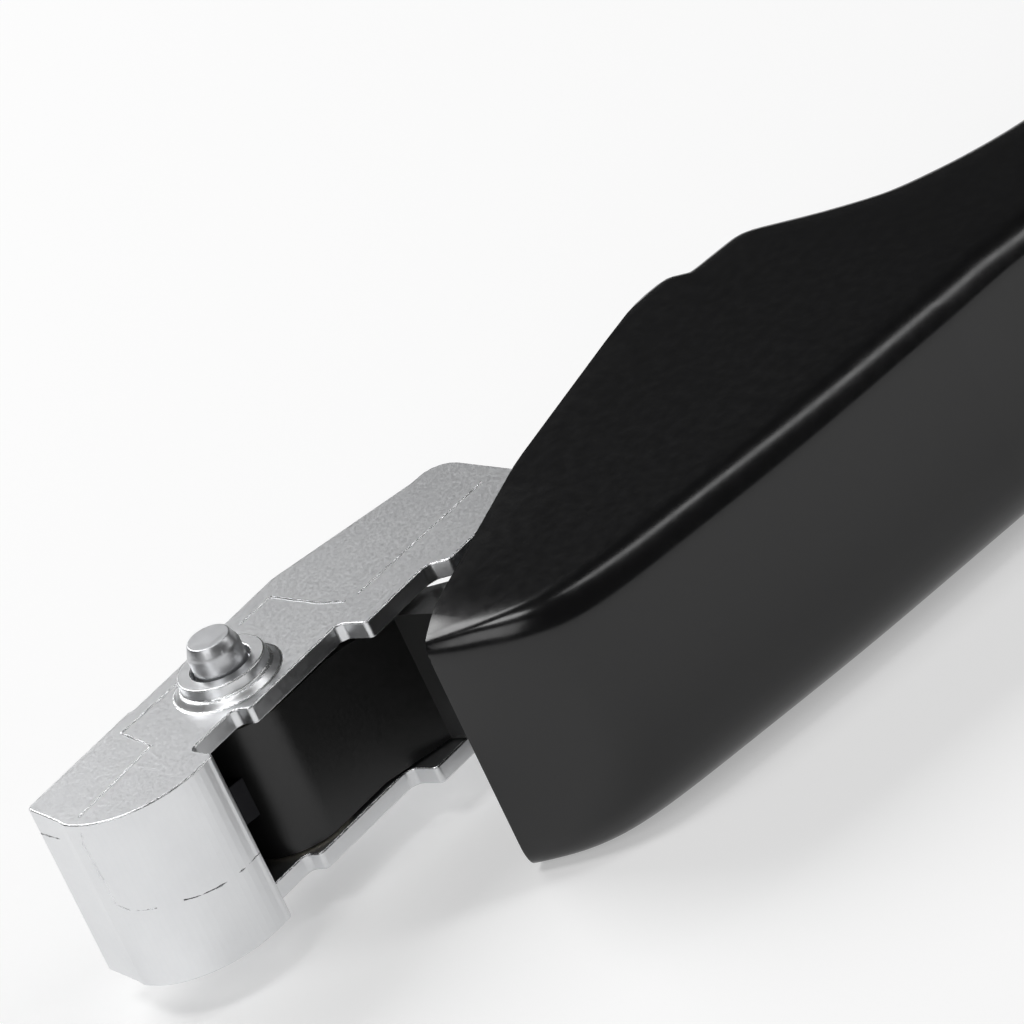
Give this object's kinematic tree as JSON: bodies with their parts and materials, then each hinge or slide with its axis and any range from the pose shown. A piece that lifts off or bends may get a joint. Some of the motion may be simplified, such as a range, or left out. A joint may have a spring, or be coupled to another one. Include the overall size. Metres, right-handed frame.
{
  "type": "staple gun",
  "caption": "Hammer-type staple gun: plated die-cast head rocking on a steel pin under a flared black plastic handle shell, with driver blade, magazine and sliding staple tray.",
  "frame": {"origin": "centre of the underside of the whole tool's box, the tool lying on its side on the bench", "axes": "+X from the nose to the butt of the handle, +Z along the pivot pin and up, -Y towards the back of the handle, +Y towards the face that meets the work"},
  "size_m": [0.2944, 0.0764, 0.0326],
  "materials": {
    "shell": "glossy",
    "cover": "glossy",
    "cap": "satin",
    "tongue": "satin",
    "washer": "matte",
    "plated_zinc": "bright plated die casting",
    "bar_steel": "rolled",
    "sheet_steel": "zinc plated",
    "blade_steel": "ground",
    "pin_steel": "turned",
    "screw_steel": "zinc plated",
    "spring_steel": "drawn",
    "staple_wire": "galvanised",
    "dark_steel": "black oxide"
  },
  "bodies": {
    "handle": {"handle_shell": "shell", "grip_cover": "cover", "butt_cap": "cap", "spine_bar": "bar_steel", "tongue": "tongue", "driver_arm": "dark_steel", "pivot_pin": "pin_steel", "pin_clip": "dark_steel", "thrust_washers": "washer", "tongue_screws": "screw_steel", "shell_screws": "dark_steel", "cover_screws": "dark_steel", "cap_screw": "dark_steel", "spring_anchor": "pin_steel", "return_spring": "spring_steel"},
    "head": {"head_casting": "plated_zinc", "nose_plate": "sheet_steel", "magazine_channel": "sheet_steel", "magazine_screws": "dark_steel", "tail_pin": "pin_steel"},
    "driver": {"driver_blade": "blade_steel"},
    "tray": {"staple_rail": "sheet_steel", "rail_end": "sheet_steel", "guide_rod": "pin_steel", "staple_strip": "staple_wire", "pusher_spring": "spring_steel", "latch_pin": "pin_steel"},
    "pusher": {"pusher": "sheet_steel"},
    "latch": {"latch_lever": "dark_steel"}
  },
  "joints": [
    {"name": "head_pivot", "type": "hinge", "parent": "handle", "child": "head", "pos_m": [-0.1208, 0.0234, 0.016], "axis": [0, 0, 1], "range_deg": [0, 20], "stiffness_Nm_per_rad": 0.5, "springref_deg": -11.46, "deforming": ["return_spring"]},
    {"name": "driver_slide", "type": "slide", "parent": "head", "child": "driver", "axis": [0, 1, 0], "range_m": [0, 0.0071]},
    {"name": "tray_slide", "type": "slide", "parent": "head", "child": "tray", "axis": [1, 0, 0], "range_m": [0, 0.04]},
    {"name": "pusher_slide", "type": "slide", "parent": "tray", "child": "pusher", "axis": [1, 0, 0], "range_m": [0, 0.01], "stiffness_N_per_m": 40, "springref_m": -0.03, "deforming": ["pusher_spring"]},
    {"name": "latch_pivot", "type": "hinge", "parent": "tray", "child": "latch", "pos_m": [-0.0944, 0.0288, 0.016], "axis": [0, 0, 1], "range_deg": [0, 10], "stiffness_Nm_per_rad": 0.004, "springref_deg": -28.65}
  ],
  "couplings": [
    {"joint": "driver_slide", "follows": "head_pivot", "m_per_rad": 0.02}
  ]
}
